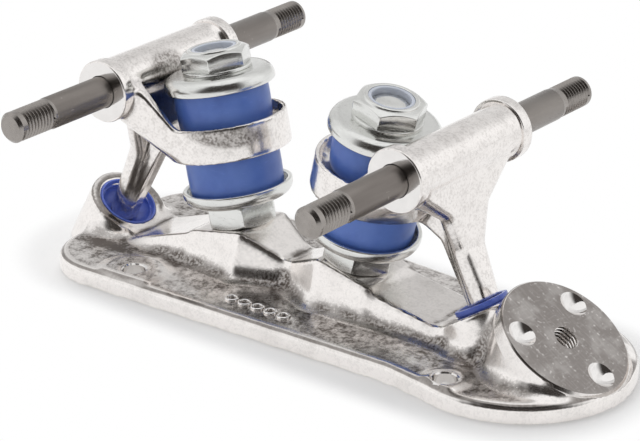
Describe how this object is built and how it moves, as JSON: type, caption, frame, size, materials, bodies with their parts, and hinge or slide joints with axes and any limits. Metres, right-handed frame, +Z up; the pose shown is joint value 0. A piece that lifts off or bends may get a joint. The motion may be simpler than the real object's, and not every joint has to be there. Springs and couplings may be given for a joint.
{
  "type": "roller skate plate",
  "caption": "Polished aluminium roller skate plate with sprung front and rear trucks, blue cushions, kingpins with lock nuts, bare threaded axles and an angled toe stop boss.",
  "frame": {"origin": "on the flat boot face, on the centre line, midway between the two axles", "axes": "+X towards the toe, +Y to the left when the toe points forward and +Z is up, +Z away from the boot, towards the floor in use"},
  "size_m": [0.1694, 0.108, 0.0614],
  "materials": {
    "cast_aluminium": "polished casting with cloudy grain",
    "dark_steel": "dark turned steel",
    "zinc_steel": "bright zinc plating",
    "urethane": "satin blue urethane",
    "cup_plastic": "glossy blue plastic",
    "nylon": "pale translucent nylon"
  },
  "bodies": {
    "base": {"base_plate": "cast_aluminium", "front_pivot_cup": "cup_plastic", "front_kingpin": "dark_steel", "front_jam_nut": "zinc_steel", "front_lower_retainer": "zinc_steel", "front_lower_cushion": "urethane", "front_upper_cushion": "urethane", "rear_pivot_cup": "cup_plastic", "rear_kingpin": "dark_steel", "rear_jam_nut": "zinc_steel", "rear_lower_retainer": "zinc_steel", "rear_lower_cushion": "urethane", "rear_upper_cushion": "urethane"},
    "front_truck": {"front_hanger": "cast_aluminium", "front_axle": "dark_steel"},
    "front_upper_stack": {"front_upper_retainer": "zinc_steel", "front_nut_washer": "zinc_steel"},
    "front_nut": {"front_action_nut": "zinc_steel", "front_nylon_insert": "nylon"},
    "rear_truck": {"rear_hanger": "cast_aluminium", "rear_axle": "dark_steel"},
    "rear_upper_stack": {"rear_upper_retainer": "zinc_steel", "rear_nut_washer": "zinc_steel"},
    "rear_nut": {"rear_action_nut": "zinc_steel", "rear_nylon_insert": "nylon"}
  },
  "joints": [
    {"name": "front_steer", "type": "hinge", "parent": "base", "child": "front_truck", "pos_m": [0.059, 0, 0.0084], "axis": [-0.7646, 0, 0.6445], "range_deg": [-8, 8], "stiffness_Nm_per_rad": 6, "deforming": ["front_lower_cushion", "front_upper_cushion"]},
    {"name": "front_preload", "type": "slide", "parent": "base", "child": "front_upper_stack", "axis": [-0.2079, 0, -0.9781], "range_m": [-0.0008, 0.0012], "deforming": ["front_upper_cushion"]},
    {"name": "front_nut_turn", "type": "hinge", "parent": "front_upper_stack", "child": "front_nut", "pos_m": [0.02684, 0, 0.05512], "axis": [-0.2079, 0, -0.9781], "range_deg": [-272, 408]},
    {"name": "rear_steer", "type": "hinge", "parent": "base", "child": "rear_truck", "pos_m": [-0.059, 0, 0.0084], "axis": [0.7646, 0, 0.6445], "range_deg": [-8, 8], "stiffness_Nm_per_rad": 6, "deforming": ["rear_lower_cushion", "rear_upper_cushion"]},
    {"name": "rear_preload", "type": "slide", "parent": "base", "child": "rear_upper_stack", "axis": [0.2079, 0, -0.9781], "range_m": [-0.0008, 0.0012], "deforming": ["rear_upper_cushion"]},
    {"name": "rear_nut_turn", "type": "hinge", "parent": "rear_upper_stack", "child": "rear_nut", "pos_m": [-0.02684, 0, 0.05512], "axis": [0.2079, 0, -0.9781], "range_deg": [-272, 408]}
  ],
  "couplings": [
    {"joint": "front_nut_turn", "follows": "front_preload", "rad_per_m": 5927.5},
    {"joint": "rear_nut_turn", "follows": "rear_preload", "rad_per_m": 5927.5}
  ]
}
